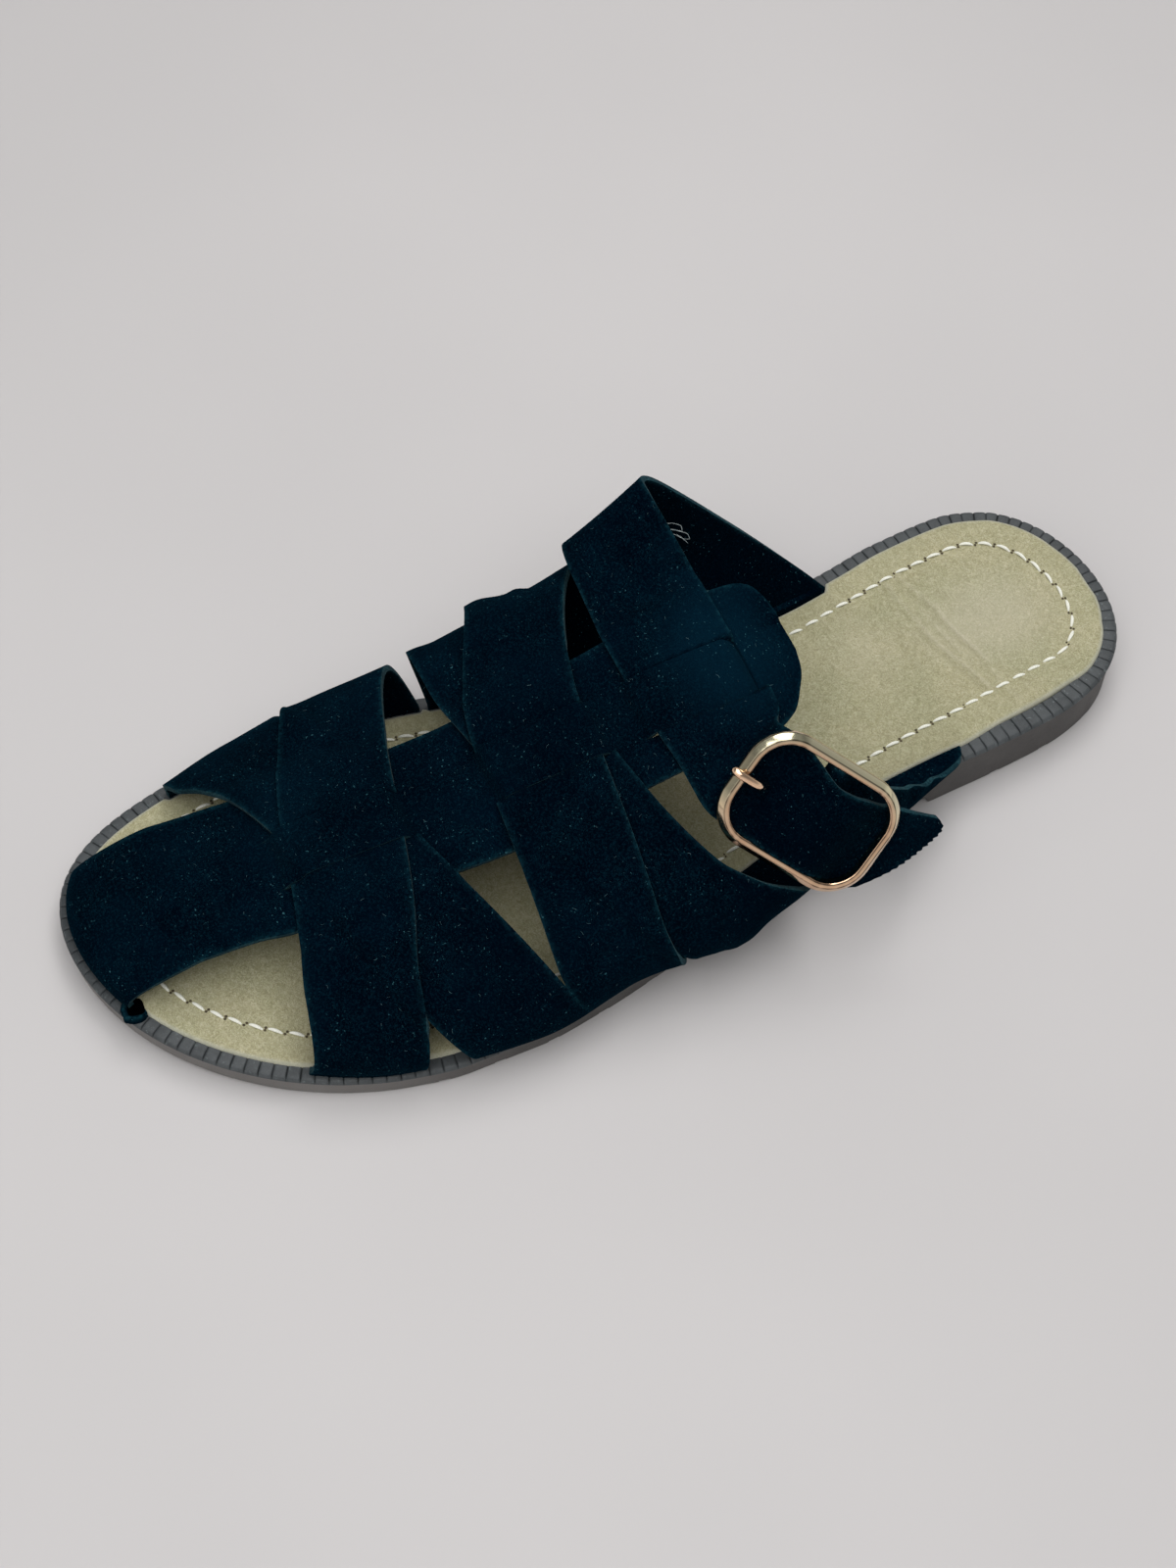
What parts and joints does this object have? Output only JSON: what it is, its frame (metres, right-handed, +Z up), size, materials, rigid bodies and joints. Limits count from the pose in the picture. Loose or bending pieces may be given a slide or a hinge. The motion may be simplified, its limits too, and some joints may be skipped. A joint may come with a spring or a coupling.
{
  "type": "mule",
  "caption": "Flat open-back mule for the left foot: woven suede strap upper with a lateral buckle, nubuck footbed, notched welt and moulded rubber sole.",
  "frame": {"origin": "centre of the bounding box on the floor that the sole stands on", "axes": "+Z up, -Y towards the toe, +X to the lateral side of this left shoe"},
  "size_m": [0.1013, 0.26, 0.0631],
  "materials": {
    "sole_rubber": "matt taupe",
    "welt_rubber": "matt slate, notched",
    "nubuck": "beige nubuck",
    "suede": "dark teal suede",
    "rose_gold": "polished pale rose gold"
  },
  "bodies": {
    "root": {"outsole": "sole_rubber", "welt": "welt_rubber", "insole": "nubuck", "upper": "suede", "buckle_strap": "suede", "buckle_frame": "rose_gold", "buckle_prong": "rose_gold"}
  },
  "joints": []
}
